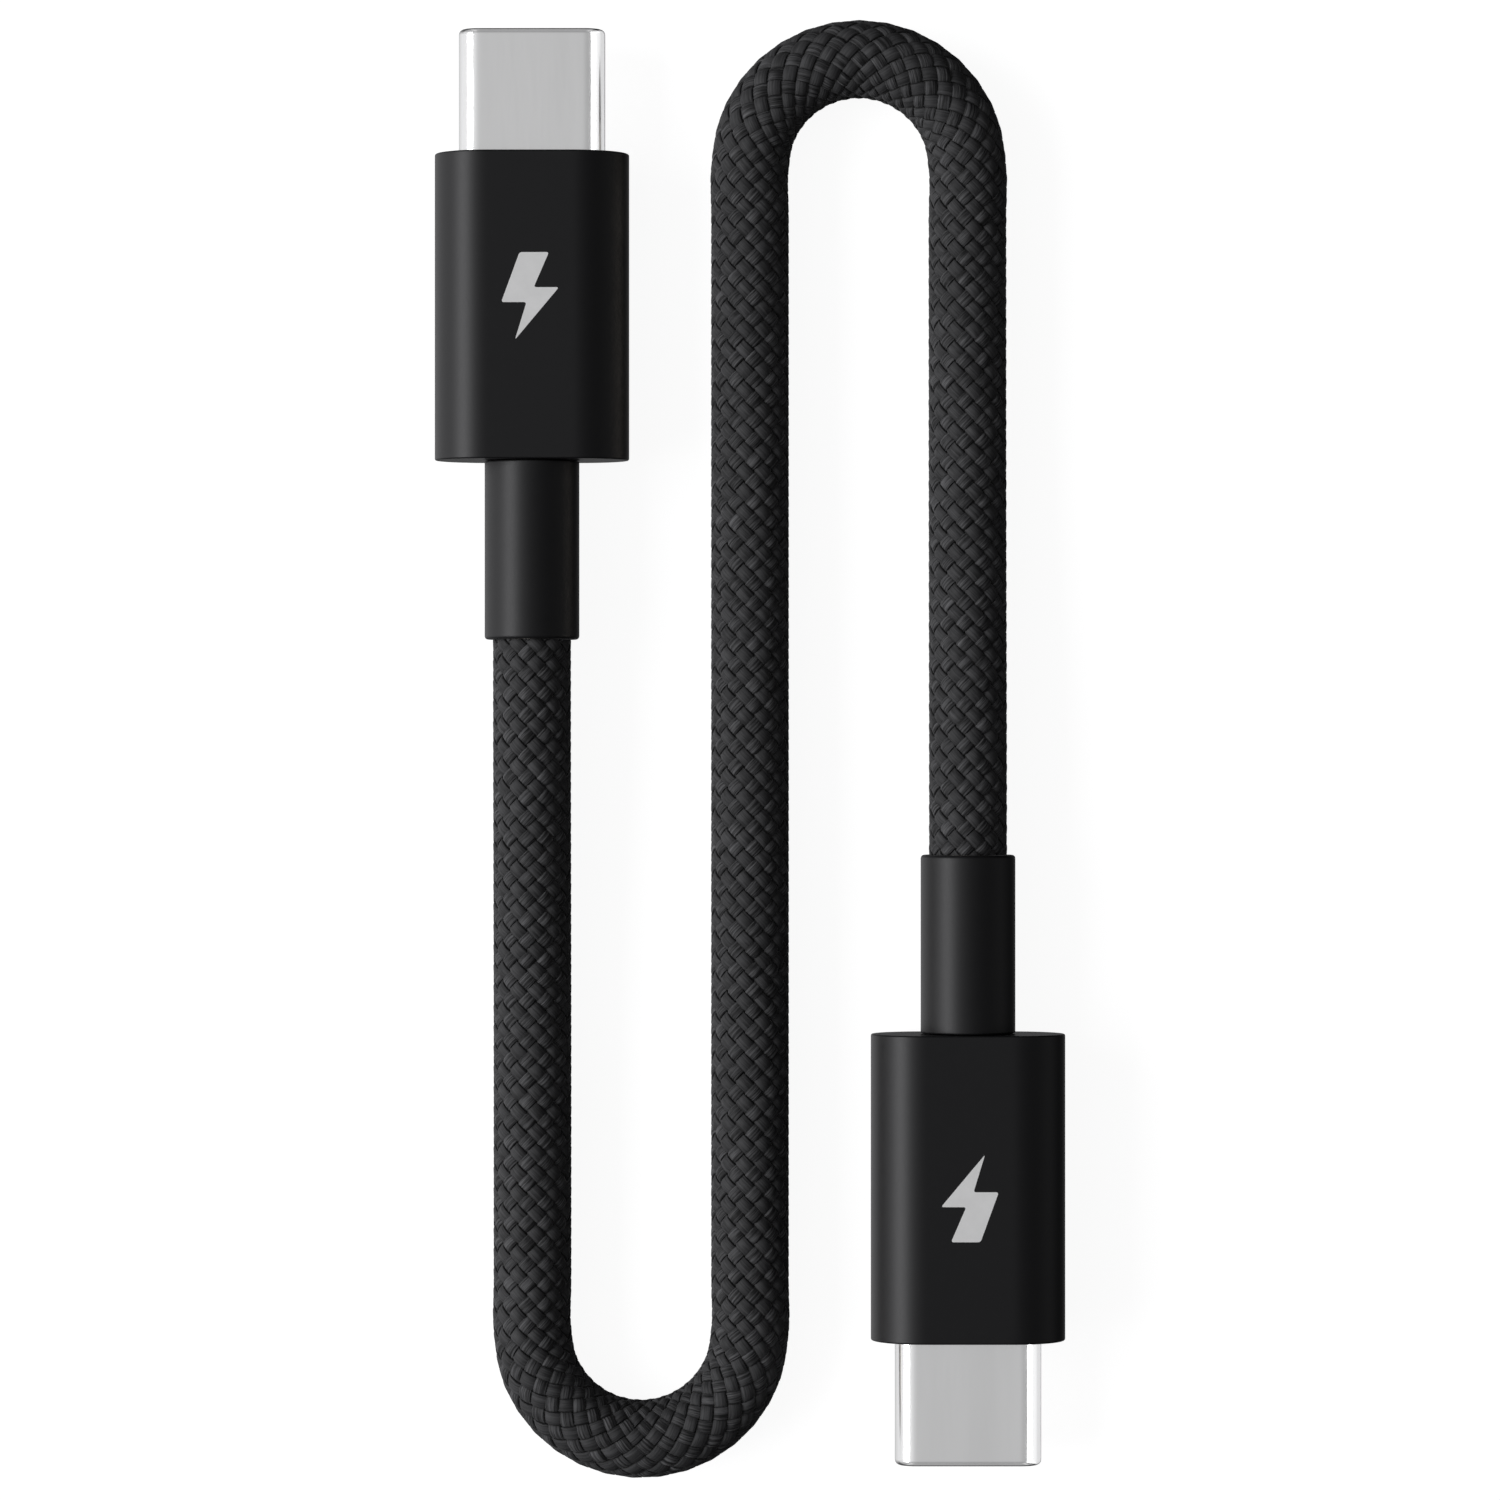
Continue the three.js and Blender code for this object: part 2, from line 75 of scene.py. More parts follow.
# ---- Sizes ---------------------------------------------------------------------------------------
# Cord
SLEEVE_RADIUS = 2.178 * mm
JACKET_RADIUS = 1.828 * mm
JACKET_BORE = 1.408 * mm
SLEEVE_IN_BOOT = 1.6 * mm  # how far the braid runs inside each strain relief
RIBBONS = 12  # in each direction
BRAID_REPEAT = 1.144 * mm  # along the cord, from one ribbon to the next
CROSSING_OFFSET = math.radians(8.5)  # from the cord's top line to a column where the S ribbons are on top
RIBBON_COVER = 0.985  # share of the spacing that a ribbon fills
RIBBON_HALF_THICKNESS = 0.085 * mm
RIBBON_RISE = 0.088 * mm  # of a ribbon's middle, either way, as it passes over and under
CREST = 0.035 * mm  # how far the ribbons' crests stand proud of the sleeve's nominal radius
RIBBON_EDGE_DROP = 0.015 * mm  # of a ribbon's edges below its middle
WAVE_SHARPNESS = 2.4  # how suddenly a ribbon goes from over to under
S_LAY_SAG = 0.06  # the S lay's floats are long
Z_LAY_SAG = 0.18  # and the Z lay's are short
STEPS_PER_CROSSING = 4  # sections of a ribbon from one crossing to the next

# Housing
HOUSING_LENGTH = 17.25 * mm
HOUSING_WIDTH = 10.95 * mm
HOUSING_THICKNESS = 6.0 * mm
HOUSING_WALL = 0.8 * mm
HOUSING_FRONT_WALL = 0.9 * mm
HOUSING_REAR_WALL = 1.2 * mm
HOUSING_RIM = 0.1 * mm
OPENING_CHAMFER = 0.06 * mm

# Strain relief
BOOT_LENGTH = 10.08 * mm
BOOT_RADIUS = 2.668 * mm
BOOT_BORE = 2.228 * mm
BOOT_RIM = 0.2 * mm
BOOT_SHOULDER = 0.3 * mm
NECK_RADIUS = 1.708 * mm
FLANGE_RADIUS = 2.15 * mm
FLANGE_THICKNESS = 1.0 * mm

# Shell and contacts
SHELL_WIDTH = 8.25 * mm
SHELL_HEIGHT = 2.4 * mm
SHELL_WALL = 0.3 * mm
SHELL_REACH = 7.02 * mm
SHELL_TAIL = 3.6 * mm
SHELL_RIM = 0.3 * mm
LIP_DEPTH = 0.35 * mm
LIP_OVERHANG = 0.15 * mm
LIP_EDGE = 0.05 * mm
FIT = 0.05 * mm
CONTACTS = 12
CONTACT_PITCH = 0.5 * mm
CONTACT_WIDTH = 0.25 * mm
CONTACT_THICKNESS = 0.12 * mm
CONTACT_CORNERS = 8  # round a contact beam's section
CONTACT_EASE = 0.25  # of its corners, as a share of half its width or thickness

# Printed mark on each housing
MARK_HEIGHT = 4.9 * mm
MARK_WIDTH = 3.4 * mm
MARK_MIDDLE = -8.19 * mm  # in the plug's frame
MARK_FILM = 0.012 * mm
MARK_CORNER = 0.16 * mm

RING_POINTS = 160  # round a housing or a shell
ROUND_POINTS = 72  # round a strain relief

# The cord's route, from plug A to plug B: x and y, then the lift, which is 0 where the cord lies on the
# plane and 1 where it is level with the plugs' axes.
ROUTE = [
    (-0.01228, 0.0104, 1),
    (-0.01228, 0.005, 1),
    (-0.01228, -0.001, 0.88),
    (-0.01228, -0.008, 0.42),
    (-0.01228, -0.015, 0.06),
    (-0.01228, -0.023, 0),
    (-0.01228, -0.03, 0),
    (-0.01228, -0.0329, 0),
    (-0.01181, -0.03525, 0),
    (-0.01048, -0.03724, 0),
    (-0.00849, -0.03857, 0),
    (-0.00614, -0.03904, 0),
    (-0.00379, -0.03857, 0),
    (-0.0018, -0.03724, 0),
    (-0.00047, -0.03525, 0),
    (0, -0.0329, 0),
    (0, -0.03, 0),
    (0, -0.015, 0),
    (0, 0, 0),
    (0, 0.015, 0),
    (0, 0.0298, 0),
    (0, 0.0327, 0),
    (0.00047, 0.03505, 0),
    (0.0018, 0.03704, 0),
    (0.00379, 0.03837, 0),
    (0.00614, 0.03884, 0),
    (0.00849, 0.03837, 0),
    (0.01048, 0.03704, 0),
    (0.01181, 0.03505, 0),
    (0.01228, 0.0327, 0),
    (0.01228, 0.0298, 0),
    (0.01228, 0.023, 0),
    (0.01228, 0.015, 0.06),
    (0.01228, 0.008, 0.42),
    (0.01228, 0.001, 0.88),
    (0.01228, -0.005, 1),
    (0.01228, -0.0104, 1),
]

HOUSING_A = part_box("plug_a_housing")
PLUG_AXIS = (HOUSING_A[0].z + HOUSING_A[1].z) / 2
PLUG_OUT = -(HOUSING_A[0].x + HOUSING_A[1].x) / 2
PLUG_FRONT = HOUSING_A[1].y
BOOT_END = PLUG_FRONT - HOUSING_LENGTH - BOOT_LENGTH


# ---- Materials -----------------------------------------------------------------------------------
class Nodes:
    """A material's node tree, with short calls to add and join nodes."""

    def __init__(self, name):
        self.material = bpy.data.materials.new(name)
        self.material.use_nodes = True
        self.tree = self.material.node_tree
        self.shader = self.tree.nodes["Principled BSDF"]

    def add(self, kind, **settings):
        node = self.tree.nodes.new("ShaderNode" + kind)
        for name, value in settings.items():
            setattr(node, name, value)
        return node

    def join(self, source, target):
        self.tree.links.new(source, target)

    def noise(self, vector, scale, detail=3, roughness=0.55):
        node = self.add("TexNoise")
        node.inputs["Scale"].default_value = scale
        node.inputs["Detail"].default_value = detail
        node.inputs["Roughness"].default_value = roughness
        self.join(vector, node.inputs["Vector"])
        return node.outputs["Fac"]

    def stretched(self, vector, scale):
        node = self.add("Mapping")
        node.inputs["Scale"].default_value = scale
        self.join(vector, node.inputs["Vector"])
        return node.outputs["Vector"]

    def spread(self, value, low, high, start=0.3, end=0.7):
        node = self.add("MapRange")
        node.inputs["From Min"].default_value = start
        node.inputs["From Max"].default_value = end
        node.inputs["To Min"].default_value = low
        node.inputs["To Max"].default_value = high
        self.join(value, node.inputs["Value"])
        return node.outputs["Result"]

    def mixed(self, factor, first, second):
        node = self.add("Mix", data_type="RGBA")
        self.join(factor, node.inputs["Factor"])
        for value, socket in zip((first, second), node.inputs[6:8]):
            socket.default_value = (*value, 1)
        return node.outputs[2]

    def maths(self, operation, first, second):
        node = self.add("Math", operation=operation)
        for value, socket in zip((first, second), node.inputs):
            if isinstance(value, (int, float)):
                socket.default_value = value
            else:
                self.join(value, socket)
        return node.outputs["Value"]

    def bump(self, height, strength, distance):
        node = self.add("Bump")
        node.inputs["Strength"].default_value = strength
        node.inputs["Distance"].default_value = distance
        self.join(height, node.inputs["Height"])
        self.join(node.outputs["Normal"], self.shader.inputs["Normal"])


def surface(name, dark, light, rough, grain, depth, metallic=0, stretch=(1, 1, 1), specular=0.5):
    """A moulded, drawn or plated surface: colour, roughness and relief all vary with a fine grain."""
    nodes = Nodes(name)
    place = nodes.add("TexCoord").outputs["Object"]
    place = nodes.stretched(place, stretch)
    cloud = nodes.noise(place, grain / 12)
    fine = nodes.noise(place, grain, detail=4)
    nodes.join(nodes.mixed(nodes.spread(cloud, 0, 1), dark, light), nodes.shader.inputs["Base Color"])
    nodes.join(nodes.spread(fine, *rough), nodes.shader.inputs["Roughness"])
    nodes.bump(fine, 0.35, depth)
    nodes.shader.inputs["Metallic"].default_value = metallic
    nodes.shader.inputs["Specular IOR Level"].default_value = specular
    return nodes.material


def yarn(name, dull, pale, start, end):
    """Ribbons of fine filaments. The mesh gives each point its place across, along and in the braid.

    The noise between start and end takes a filament from dull to pale, so a late start leaves few pale ones.
    """
    nodes = Nodes(name)
    strand = nodes.add("Attribute", attribute_name="strand").outputs["Vector"]
    crest = nodes.add("Attribute", attribute_name="crest").outputs["Fac"]
    filaments = nodes.noise(nodes.stretched(strand, (2.6, 0.35, 1)), 1.6, detail=4, roughness=0.7)
    patches = nodes.noise(nodes.stretched(strand, (0.6, 0.9, 1)), 1.0, detail=2)
    split = nodes.add("SeparateXYZ")
    nodes.join(strand, split.inputs["Vector"])
    edge = nodes.maths("ABSOLUTE", split.outputs["X"], 0)
    # Painted shade: the colour darkens towards each ribbon's edges and where it dips under the other lay.
    painted_edge_shade = nodes.spread(edge, 1, 0.4, start=0.84, end=1)
    painted_dip_shade = nodes.spread(crest, 0.4, 1, start=-0.7, end=0.1)
    painted_crease_shade = nodes.maths("MULTIPLY", painted_edge_shade, painted_dip_shade)
    level = nodes.spread(filaments, dull, pale, start=start, end=end)
    patch = nodes.spread(patches, 0.8, 1.4)
    level = nodes.maths("MULTIPLY", nodes.maths("MULTIPLY", level, patch), painted_crease_shade)
    tint = nodes.add("CombineXYZ")
    nodes.join(level, tint.inputs["X"])
    nodes.join(level, tint.inputs["Y"])
    nodes.join(nodes.maths("MULTIPLY", level, 1.03), tint.inputs["Z"])
    nodes.join(tint.outputs["Vector"], nodes.shader.inputs["Base Color"])
    nodes.join(nodes.spread(filaments, 0.55, 0.8), nodes.shader.inputs["Roughness"])
    nodes.bump(filaments, 0.6, 0.03 * mm)
    nodes.shader.inputs["Specular IOR Level"].default_value = 0.3
    nodes.shader.inputs["Sheen Weight"].default_value = 0.012
    nodes.shader.inputs["Sheen Roughness"].default_value = 0.5
    return nodes.material


def vinyl(name, colour):
    dark = tuple(0.85 * value for value in colour)
    return surface(name, dark, colour, (0.35, 0.5), 9000, 0.004 * mm)


LOOKS = {
    "woven_yarn": yarn("woven_yarn", 0.026, 0.088, 0.34, 0.68),
    "streaked_yarn": yarn("streaked_yarn", 0.018, 0.19, 0.42, 0.76),
    "cut_yarn": surface(
        "cut_yarn",
        (0.012, 0.012, 0.0123),
        (0.05, 0.05, 0.051),
        (0.6, 0.8),
        9000,
        0.01 * mm,
        stretch=(1, 0.3, 1),
    ),
    "housing_plastic": surface(
        "housing_plastic", (0.0082, 0.0082, 0.0092), (0.0092, 0.0092, 0.0103), (0.4, 0.46), 16000, 0.003 * mm
    ),
    "boot_rubber": surface(
        "boot_rubber", (0.0088, 0.0088, 0.0097), (0.0104, 0.0104, 0.0114), (0.42, 0.5), 14000, 0.004 * mm
    ),
    "shell_steel": surface(
        "shell_steel",
        (0.86, 0.86, 0.85),
        (0.92, 0.92, 0.91),
        (0.17, 0.24),
        5000,
        0.001 * mm,
        metallic=1,
        stretch=(1, 0.12, 1),
    ),
    "spring_steel": surface(
        "spring_steel",
        (0.6, 0.6, 0.61),
        (0.68, 0.68, 0.68),
        (0.25, 0.38),
        6000,
        0.002 * mm,
        metallic=1,
        stretch=(1, 0.15, 1),
    ),
    "contact_gold": surface(
        "contact_gold", (0.83, 0.58, 0.2), (0.92, 0.68, 0.28), (0.2, 0.32), 8000, 0.002 * mm, metallic=1
    ),
    "tinned_copper": surface(
        "tinned_copper",
        (0.55, 0.5, 0.44),
        (0.7, 0.66, 0.6),
        (0.35, 0.5),
        7000,
        0.006 * mm,
        metallic=1,
        stretch=(1, 1, 0.5),
    ),
    "dark_resin": surface(
        "dark_resin", (0.008, 0.008, 0.008), (0.013, 0.013, 0.013), (0.45, 0.6), 9000, 0.004 * mm
    ),
    "board_resin": surface(
        "board_resin", (0.01, 0.06, 0.03), (0.016, 0.085, 0.04), (0.3, 0.45), 6000, 0.004 * mm
    ),
    "mould_resin": surface(
        "mould_resin", (0.6, 0.57, 0.48), (0.68, 0.65, 0.56), (0.4, 0.6), 5000, 0.006 * mm
    ),
    "jacket_rubber": surface(
        "jacket_rubber", (0.006, 0.006, 0.006), (0.01, 0.01, 0.01), (0.6, 0.75), 9000, 0.006 * mm
    ),
    "printed_mark": surface(
        "printed_mark", (0.86, 0.86, 0.85), (0.92, 0.92, 0.91), (0.45, 0.55), 12000, 0.002 * mm
    ),
    "red_vinyl": vinyl("red_vinyl", (0.38, 0.015, 0.015)),
    "black_vinyl": vinyl("black_vinyl", (0.012, 0.012, 0.012)),
    "blue_vinyl": vinyl("blue_vinyl", (0.015, 0.08, 0.38)),
    "green_vinyl": vinyl("green_vinyl", (0.015, 0.2, 0.05)),
    "white_vinyl": vinyl("white_vinyl", (0.75, 0.74, 0.7)),
}


# ---- Meshes --------------------------------------------------------------------------------------
def volume_of(points, faces):
    """Signed volume inside closed faces of three or four corners, all of one length."""
    corners = points[faces]
    total = 0
    for i in range(1, faces.shape[1] - 1):
        total += np.einsum("ij,ij->i", corners[:, 0], np.cross(corners[:, i], corners[:, i + 1])).sum()
    return total


def mesh_object(name, points, faces, look, sharp=math.radians(38)):
    """A named mesh of the points and faces, facing out, smooth but for its sharp edges."""
    if volume_of(points, faces) < 0:
        faces = faces[:, ::-1]
    mesh = bpy.data.meshes.new(name)
    mesh.vertices.add(len(points))
    mesh.vertices.foreach_set("co", points.astype(np.float32).ravel())
    mesh.loops.add(faces.size)
    mesh.loops.foreach_set("vertex_index", faces.astype(np.int32).ravel())
    mesh.polygons.add(len(faces))
    mesh.polygons.foreach_set("loop_start", np.arange(0, faces.size, faces.shape[1], dtype=np.int32))
    mesh.polygons.foreach_set("use_smooth", np.ones(len(faces), bool))
    mesh.update(calc_edges=True)
    mesh.set_sharp_from_angle(angle=sharp)
    mesh.materials.append(LOOKS[look])
    made = bpy.data.objects.new(name, mesh)
    scene.collection.objects.link(made)
    return made


def grid_faces(rows, columns, closed_rows):
    """Quads of a grid of points that closes along its columns, and along its rows if asked."""
    row = np.arange(rows if closed_rows else rows - 1)[:, None]
    column = np.arange(columns)[None, :]
    after, beside = (row + 1) % rows, (column + 1) % columns
    corners = [
        row * columns + column,
        after * columns + column,
        after * columns + beside,
        row * columns + beside,
    ]
    return np.stack([np.broadcast_to(c, (len(row), columns)) for c in corners], -1).reshape(-1, 4)


def outline(width, height, radius, count):
    """Points evenly spaced round a bar's cross-section of that corner radius, in X and Z."""
    across, up = width / 2 - radius, height / 2 - radius
    turn = np.linspace(0, math.pi / 2, 33)
    path = [(0, height / 2)]
    for quarter, (x, z) in enumerate(((across, up), (across, -up), (-across, -up), (-across, up))):
        angle = turn + quarter * math.pi / 2
        path += list(zip(x + radius * np.sin(angle), z + radius * np.cos(angle)))
    path = np.array([*path, (0, height / 2)])
    length = np.concatenate([[0], np.cumsum(np.hypot(*np.diff(path, axis=0).T))])
    wanted = np.linspace(0, length[-1], count, endpoint=False)
    return np.stack([np.interp(wanted, length, path[:, 0]), np.interp(wanted, length, path[:, 1])], 1)


def lofted(stations, count):
    """Points and faces of a closed skin through stations of (y, width, height), all full-round bars."""
    rings = []
    for y, width, height in stations:
        shape = outline(width, height, min(width, height) / 2, count)
        rings.append(np.stack([shape[:, 0], np.full(count, y), shape[:, 1]], 1))
    return np.concatenate(rings), grid_faces(len(rings), count, True)


def rounded_rim(y, inward, width, height, rim, steps=6):
    """Stations from an end face at y round its rim to the sides; inward is the way into the piece."""
    margin = rim + 0.04 * mm
    found = [(y, width - 2 * margin, height - 2 * margin)]
    for i in range(steps + 1):
        angle = i / steps * math.pi / 2
        inset = 2 * rim * (1 - math.sin(angle))
        found.append((y + inward * rim * (1 - math.cos(angle)), width - inset, height - inset))
    found.append((y + inward * margin, width, height))
    return found


# ---- Cord ----------------------------------------------------------------------------------------
def smooth_line(points, steps):
    """Points along a centripetal Catmull-Rom curve through the given points."""
    ends = [2 * points[0] - points[1], *points, 2 * points[-1] - points[-2]]
    share = np.linspace(0, 1, steps, endpoint=False)[:, None]
    line = []
    for before, start, end, after in zip(ends, ends[1:], ends[2:], ends[3:]):
        first, middle, last = (
            math.sqrt(np.linalg.norm(b - a)) for a, b in ((before, start), (start, end), (end, after))
        )
        leaving = (start - before) / first - (end - before) / (first + middle) + (end - start) / middle
        arriving = (end - start) / middle - (after - start) / (middle + last) + (after - end) / last
        leaving, arriving = leaving * middle, arriving * middle
        square, cube = share**2, share**3
        line.append(
            (2 * cube - 3 * square + 1) * start
            + (cube - 2 * square + share) * leaving
            + (3 * square - 2 * cube) * end
            + (cube - square) * arriving
        )
    return np.concatenate([*line, [points[-1]]])


class Line:
    """The cord's axis by distance from its cut end in plug A, with level and upward directions."""

    def __init__(self, route):
        rise = PLUG_AXIS - SLEEVE_RADIUS
        points = [np.array((x, y, SLEEVE_RADIUS + lift * rise)) for x, y, lift in route]
        self.points = smooth_line(points, 60)
        steps = np.linalg.norm(np.diff(self.points, axis=0), axis=1)
        self.distance = np.concatenate([[0], np.cumsum(steps)])
        self.length = self.distance[-1]
        self.heading = np.gradient(self.points, self.distance, axis=0)

    def at(self, distance):
        """Axis points, and unit vectors to the left of travel and up, at the given distances."""
        place = np.stack([np.interp(distance, self.distance, self.points[:, i]) for i in range(3)], -1)
        ahead = np.stack([np.interp(distance, self.distance, self.heading[:, i]) for i in range(3)], -1)
        ahead /= np.linalg.norm(ahead, axis=-1, keepdims=True)
        left = np.stack([-ahead[..., 1], ahead[..., 0], np.zeros_like(ahead[..., 0])], -1)
        left /= np.linalg.norm(left, axis=-1, keepdims=True)
        return place, left, np.cross(ahead, left)

    def around(self, distance, angle, radius):
        """Points at an angle from the crest, towards the left of travel, and a radius from the axis."""
        place, left, up = self.at(distance)
        out = np.cos(angle)[..., None] * up + np.sin(angle)[..., None] * left
        return place + radius[..., None] * out


line = Line(ROUTE)
sleeve_start = ROUTE[0][1] - BOOT_END - SLEEVE_IN_BOOT
sleeve_end = line.length - sleeve_start


def ribbon_lay(name, way, sag, look):
    """Twelve ribbons that wind one way along the cord, over and under the others.

    way is 1 for the S lay, which turns to the left of travel, and -1 for the Z lay. The more sag, the
    sooner a ribbon goes under.
    """
    turn_per_metre = 2 * math.pi / (RIBBONS * BRAID_REPEAT)
    radius = SLEEVE_RADIUS + CREST - RIBBON_HALF_THICKNESS - RIBBON_RISE
    slope = math.atan(turn_per_metre * radius)
    half_width = RIBBON_COVER * BRAID_REPEAT * math.sin(slope) / 2
    crossings = 2 * (sleeve_end - sleeve_start) / BRAID_REPEAT
    samples = int(crossings * STEPS_PER_CROSSING)

    # The ribbon's section: five points across its outside, then one under its middle.
    across = np.array([-1, -0.78, 0, 0.78, 1, 0])
    rise = np.array([-0.2, 0.85, 1, 0.85, -0.2, -1]) * RIBBON_HALF_THICKNESS
    rise = rise - RIBBON_EDGE_DROP * across**2 * (np.arange(6) < 5)

    ribbon = np.arange(RIBBONS)[:, None, None]
    # Steps fall on each crossing's middle, and divide the way to the next one evenly.
    step_turn = math.pi / RIBBONS / STEPS_PER_CROSSING
    begin = round(turn_per_metre * sleeve_start / step_turn) * step_turn
    swept = begin + step_turn * np.arange(samples)[None, :, None]
    middle = swept / turn_per_metre
    angle = way * swept + CROSSING_OFFSET + 2 * math.pi * ribbon / RIBBONS
    # Where one lay takes over from the other, the Z lay is low, which leaves a crease round each float.
    wave = way * np.cos(RIBBONS * swept) - sag
    height = np.tanh(WAVE_SHARPNESS * wave) / math.tanh(WAVE_SHARPNESS * (1 - sag))

    distance = middle - way * across * half_width * math.sin(slope)
    turned = angle + across * half_width * math.cos(slope) / radius
    spread = radius + RIBBON_RISE * height + rise + 0 * distance
    distance, turned, spread = np.broadcast_arrays(distance, turned, spread)
    distance = np.clip(distance, 0, line.length)
    points = line.around(distance, turned, spread)

    faces = []
    side = grid_faces(samples, len(across), False)
    for i in range(RIBBONS):
        faces.append(side + i * samples * len(across))
    faces = np.concatenate(faces)
    points = points.reshape(-1, 3)
    made = mesh_object(name, points, faces, look, sharp=math.pi)

    # The look's place on a ribbon: across it, along it, and a place of its own in the noise.
    strand = np.empty(spread.shape + (3,))
    strand[..., 0] = across
    strand[..., 1] = np.broadcast_to(middle, spread.shape) / mm
    strand[..., 2] = ribbon * 7.3 + (way + 1) * 50 + 0 * spread
    attribute = made.data.attributes.new("strand", "FLOAT_VECTOR", "POINT")
    attribute.data.foreach_set("vector", strand.astype(np.float32).ravel())
    # The ribbon's height over and under the other lay. The yarn uses it to paint shade where the ribbon
    # dips.
    crest = np.broadcast_to(height, spread.shape)
    attribute = made.data.attributes.new("crest", "FLOAT", "POINT")
    attribute.data.foreach_set("value", crest.astype(np.float32).ravel())
    return made


def tube(name, outer, inner, start, end, look, count=32):
    """A plain tube along the cord's axis, open at both ends."""
    within = (line.distance > start) & (line.distance < end)
    distance = np.concatenate([[start], line.distance[within][::6], [end]])
    angle = np.linspace(0, 2 * math.pi, count, endpoint=False)
    skins = []
    for radius, along in ((outer, distance), (inner, distance[::-1])):
        along, turned = np.meshgrid(along, angle, indexing="ij")
        skins.append(line.around(along, turned, np.full_like(along, radius)))
    points = np.concatenate(skins).reshape(-1, 3)
    return mesh_object(name, points, grid_faces(2 * len(distance), count, True), look)


sleeve_line = line.at(np.linspace(sleeve_start, sleeve_end, 400))[0]
sleeve = ribbon_lay("woven_sleeve_s_lay", 1, S_LAY_SAG, "woven_yarn")
other_lay = ribbon_lay("woven_sleeve_z_lay", -1, Z_LAY_SAG, "streaked_yarn")
jacket = tube("jacket_tube", JACKET_RADIUS, JACKET_BORE, 0, line.length, "jacket_rubber")
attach(sleeve, "cord")
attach(other_lay, "cord")
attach(jacket, "cord")
for piece in (sleeve, other_lay, jacket):
    piece.visible_glossy = False  # the steel and plastic beside the cord mirror only the studio
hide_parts("woven_sleeve")
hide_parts("inner_jacket")


# ---- Plugs ---------------------------------------------------------------------------------------
def housing_stations():
    """Stations round the housing's skin: opening, front, sides, rear, and back through the cavity."""
    opening = (SHELL_WIDTH + 2 * FIT, SHELL_HEIGHT + 2 * FIT)
    eased = tuple(side + 2 * OPENING_CHAMFER for side in opening)
    size = (HOUSING_WIDTH, HOUSING_THICKNESS)
    cavity = tuple(side - 2 * HOUSING_WALL for side in size)
    hole = (2 * (NECK_RADIUS + FIT),) * 2
    rear_wall = HOUSING_REAR_WALL - HOUSING_LENGTH
    return [
        (-HOUSING_FRONT_WALL, *opening),
        (-OPENING_CHAMFER, *opening),
        (0, *eased),
        *rounded_rim(0, -1, *size, HOUSING_RIM),
        *rounded_rim(-HOUSING_LENGTH, 1, *size, HOUSING_RIM)[::-1],
        (-HOUSING_LENGTH, *hole),
        (rear_wall, *hole),
        (rear_wall, *cavity),
        (-HOUSING_FRONT_WALL, *cavity),
    ]


def shell_stations():
    """Stations round the shell's skin: outside, rolled lip, mouth, and back through the bore."""
    size = (SHELL_WIDTH, SHELL_HEIGHT)
    bore = tuple(side - 2 * SHELL_WALL for side in size)
    mouth = tuple(side - 2 * LIP_OVERHANG for side in bore)
    return [
        (-SHELL_TAIL, *size),
        *rounded_rim(SHELL_REACH, -1, *size, SHELL_RIM)[:0:-1],
        (SHELL_REACH, mouth[0] + 2 * LIP_EDGE, mouth[1] + 2 * LIP_EDGE),
        (SHELL_REACH - LIP_EDGE / 3, mouth[0] + LIP_EDGE / 2, mouth[1] + LIP_EDGE / 2),
        (SHELL_REACH - LIP_EDGE, *mouth),
        (SHELL_REACH - LIP_DEPTH, *mouth),
        (SHELL_REACH - LIP_DEPTH, *bore),
        (-SHELL_TAIL, *bore),
    ]


def boot_stations():
    """Stations round the strain relief's skin, close together along it."""
    front = -HOUSING_LENGTH - FIT
    end = -HOUSING_LENGTH - BOOT_LENGTH
    flange_rear = HOUSING_REAR_WALL - HOUSING_LENGTH + FIT
    flange_front = flange_rear + FLANGE_THICKNESS
    stations = [
        (flange_front, JACKET_BORE),
        (flange_front, FLANGE_RADIUS),
        (flange_rear, FLANGE_RADIUS),
        (flange_rear, NECK_RADIUS),
        (front, NECK_RADIUS),
    ]
    outside = rounded_rim(front, -1, 2 * BOOT_RADIUS, 2 * BOOT_RADIUS, 0.08 * mm, 3)
    outside_end = rounded_rim(end, 1, 2 * BOOT_RADIUS, 2 * BOOT_RADIUS, BOOT_RIM)[::-1]
    stations += [(y, width / 2) for y, width, _ in outside]
    along = np.linspace(outside[-1][0], outside_end[0][0], 44)[1:-1]
    stations += [(y, BOOT_RADIUS) for y in along]
    stations += [(y, width / 2) for y, width, _ in outside_end[:-1]]
    lip = 0.05 * mm
    stations += [(end, BOOT_BORE + lip), (end + lip, BOOT_BORE)]
    stations += [(y, BOOT_BORE) for y in np.linspace(end + lip, front - BOOT_SHOULDER, 32)[1:]]
    stations += [(front - BOOT_SHOULDER, JACKET_BORE)]
    return [(y, 2 * radius, 2 * radius) for y, radius in stations]


